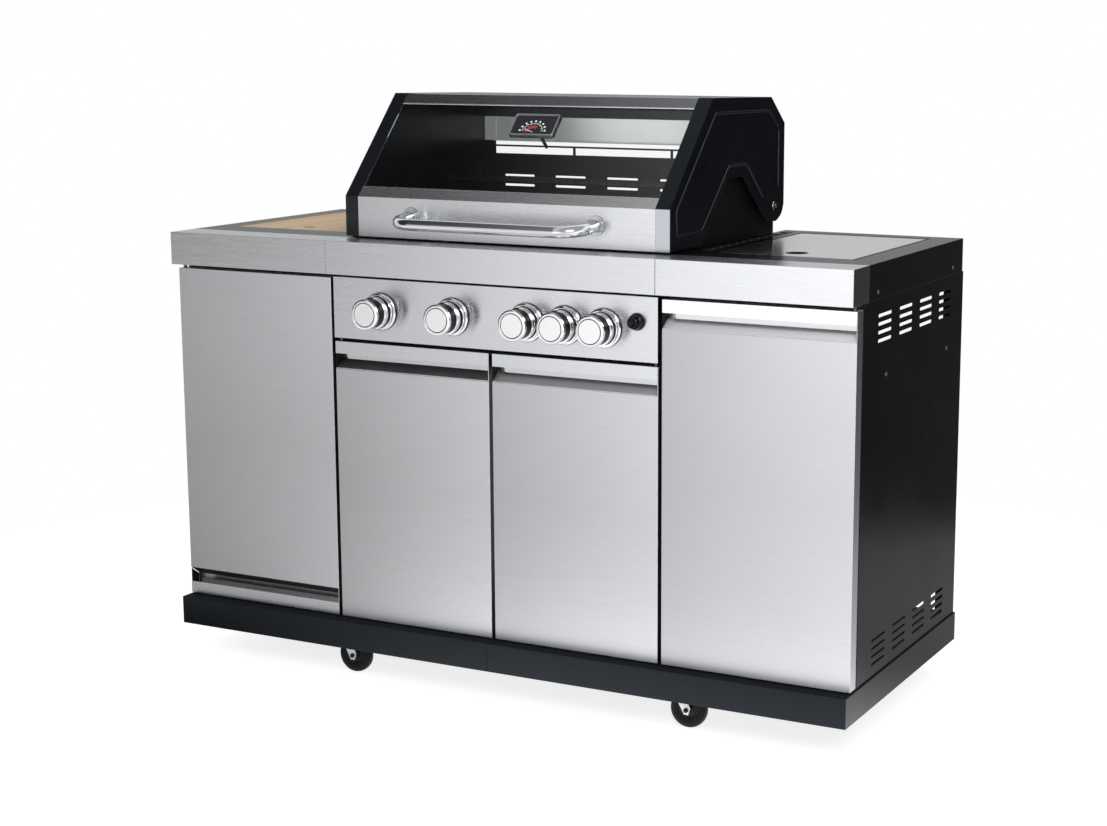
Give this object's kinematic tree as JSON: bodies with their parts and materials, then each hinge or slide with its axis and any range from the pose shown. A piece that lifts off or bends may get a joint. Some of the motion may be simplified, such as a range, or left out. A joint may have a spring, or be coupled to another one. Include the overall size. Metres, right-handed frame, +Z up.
{
  "type": "outdoor kitchen",
  "caption": "Wheeled outdoor kitchen with a gas grill under a glazed hood, a cutting board, a side burner under a lid, a knob panel and cabinets with recessed pulls.",
  "frame": {"origin": "on the floor, under the centre of the overall box", "axes": "+Z up, -Y towards the user at the front, +X to the user's right"},
  "size_m": [1.516, 0.668, 1.193],
  "materials": {
    "stainless": "brushed",
    "black_paint": "satin",
    "chrome": "polished",
    "zinc_plate": "plated",
    "tyre": "matte",
    "cast_iron": "enamelled",
    "manifold_metal": "cast",
    "button_plastic": "gloss",
    "board_wood": "oiled",
    "hood_glazing": "clear"
  },
  "bodies": {
    "carcass": {"fascia_left": "stainless", "fascia_centre": "stainless", "fascia_right": "stainless", "worktop_left": "stainless", "worktop_right": "stainless", "control_panel": "stainless", "burners": "stainless", "flame_tamers": "stainless", "warming_rack": "stainless", "plinth_left": "black_paint", "plinth_right": "black_paint", "side_panel_left": "black_paint", "side_panel_right": "black_paint", "partition_left": "black_paint", "partition_right": "black_paint", "cross_rails": "black_paint", "end_panels": "black_paint", "firebox": "black_paint", "bezels": "chrome", "caster_plates": "zinc_plate", "door_pins": "zinc_plate", "cooking_grates": "cast_iron", "pan_support": "cast_iron", "side_burner": "cast_iron", "gas_manifold": "manifold_metal"},
    "hood": {"hood_side_left": "black_paint", "hood_side_right": "black_paint", "hood_front": "stainless", "hood_trims": "stainless", "hood_glass": "hood_glazing", "hood_top_bar": "stainless", "hood_roof": "stainless", "hood_back": "stainless", "hood_handle": "chrome", "thermometer": "chrome"},
    "door_left": {"door_left": "stainless", "pull_left": "stainless"},
    "door_centre_left": {"door_centre_left": "stainless", "pull_centre_left": "stainless"},
    "door_centre_right": {"door_centre_right": "stainless", "pull_centre_right": "stainless"},
    "door_right": {"door_right": "stainless", "pull_right": "stainless"},
    "burner_lid": {"burner_lid": "stainless"},
    "cutting_board": {"cutting_board": "board_wood"},
    "knob_1": {"knob_1": "chrome"},
    "knob_2": {"knob_2": "chrome"},
    "knob_3": {"knob_3": "chrome"},
    "knob_4": {"knob_4": "chrome"},
    "knob_5": {"knob_5": "chrome"},
    "igniter_button": {"igniter_button": "button_plastic"},
    "grease_tray": {"grease_tray": "stainless"},
    "caster_fork_front_left": {"caster_fork_front_left": "zinc_plate"},
    "caster_wheel_front_left": {"caster_wheel_front_left": "tyre"},
    "caster_fork_front_right": {"caster_fork_front_right": "zinc_plate"},
    "caster_wheel_front_right": {"caster_wheel_front_right": "tyre"},
    "caster_fork_rear_left": {"caster_fork_rear_left": "zinc_plate"},
    "caster_wheel_rear_left": {"caster_wheel_rear_left": "tyre"},
    "caster_fork_rear_right": {"caster_fork_rear_right": "zinc_plate"},
    "caster_wheel_rear_right": {"caster_wheel_rear_right": "tyre"}
  },
  "joints": [
    {"name": "hood_hinge", "type": "hinge", "parent": "carcass", "child": "hood", "pos_m": [0, 0.2725, 0.9635], "axis": [-1, 0, 0], "range_deg": [0, 80]},
    {"name": "burner_lid_hinge", "type": "hinge", "parent": "carcass", "child": "burner_lid", "pos_m": [0.56025, 0.262, 0.9015], "axis": [-1, 0, 0], "range_deg": [0, 100]},
    {"name": "door_left_hinge", "type": "hinge", "parent": "carcass", "child": "door_left", "pos_m": [-0.746, -0.262, 0.45], "axis": [0, 0, -1], "range_deg": [0, 105]},
    {"name": "door_centre_left_hinge", "type": "hinge", "parent": "carcass", "child": "door_centre_left", "pos_m": [-0.354, -0.262, 0.45], "axis": [0, 0, -1], "range_deg": [0, 105]},
    {"name": "door_centre_right_hinge", "type": "hinge", "parent": "carcass", "child": "door_centre_right", "pos_m": [0.354, -0.262, 0.45], "axis": [0, 0, 1], "range_deg": [0, 105]},
    {"name": "door_right_hinge", "type": "hinge", "parent": "carcass", "child": "door_right", "pos_m": [0.746, -0.262, 0.45], "axis": [0, 0, 1], "range_deg": [0, 105]},
    {"name": "knob_1_turn", "type": "hinge", "parent": "carcass", "child": "knob_1", "pos_m": [-0.2505, -0.31, 0.771], "axis": [0, -1, 0], "range_deg": [0, 210]},
    {"name": "knob_2_turn", "type": "hinge", "parent": "carcass", "child": "knob_2", "pos_m": [-0.0835, -0.31, 0.771], "axis": [0, -1, 0], "range_deg": [0, 210]},
    {"name": "knob_3_turn", "type": "hinge", "parent": "carcass", "child": "knob_3", "pos_m": [0.0835, -0.31, 0.771], "axis": [0, -1, 0], "range_deg": [0, 210]},
    {"name": "knob_4_turn", "type": "hinge", "parent": "carcass", "child": "knob_4", "pos_m": [0.167, -0.31, 0.771], "axis": [0, -1, 0], "range_deg": [0, 210]},
    {"name": "knob_5_turn", "type": "hinge", "parent": "carcass", "child": "knob_5", "pos_m": [0.2505, -0.31, 0.771], "axis": [0, -1, 0], "range_deg": [0, 210]},
    {"name": "igniter_press", "type": "slide", "parent": "carcass", "child": "igniter_button", "axis": [0, 1, 0], "range_m": [0, 0.005], "stiffness_N_per_m": 400},
    {"name": "board_lift", "type": "slide", "parent": "carcass", "child": "cutting_board", "axis": [0, 0, 1], "range_m": [0, 0.15]},
    {"name": "grease_tray_slide", "type": "slide", "parent": "carcass", "child": "grease_tray", "axis": [0, 1, 0], "range_m": [0, 0.35]},
    {"name": "swivel_front_left", "type": "hinge", "parent": "carcass", "child": "caster_fork_front_left", "pos_m": [-0.385, -0.235, 0.095], "axis": [0, 0, 1], "continuous": true},
    {"name": "roll_front_left", "type": "hinge", "parent": "caster_fork_front_left", "child": "caster_wheel_front_left", "pos_m": [-0.356, -0.235, 0.0375], "axis": [0, 1, 0], "continuous": true},
    {"name": "swivel_front_right", "type": "hinge", "parent": "carcass", "child": "caster_fork_front_right", "pos_m": [0.385, -0.235, 0.095], "axis": [0, 0, 1], "continuous": true},
    {"name": "roll_front_right", "type": "hinge", "parent": "caster_fork_front_right", "child": "caster_wheel_front_right", "pos_m": [0.414, -0.235, 0.0375], "axis": [0, 1, 0], "continuous": true},
    {"name": "swivel_rear_left", "type": "hinge", "parent": "carcass", "child": "caster_fork_rear_left", "pos_m": [-0.385, 0.269, 0.095], "axis": [0, 0, 1], "continuous": true},
    {"name": "roll_rear_left", "type": "hinge", "parent": "caster_fork_rear_left", "child": "caster_wheel_rear_left", "pos_m": [-0.356, 0.269, 0.0375], "axis": [0, 1, 0], "continuous": true},
    {"name": "swivel_rear_right", "type": "hinge", "parent": "carcass", "child": "caster_fork_rear_right", "pos_m": [0.385, 0.269, 0.095], "axis": [0, 0, 1], "continuous": true},
    {"name": "roll_rear_right", "type": "hinge", "parent": "caster_fork_rear_right", "child": "caster_wheel_rear_right", "pos_m": [0.414, 0.269, 0.0375], "axis": [0, 1, 0], "continuous": true}
  ]
}
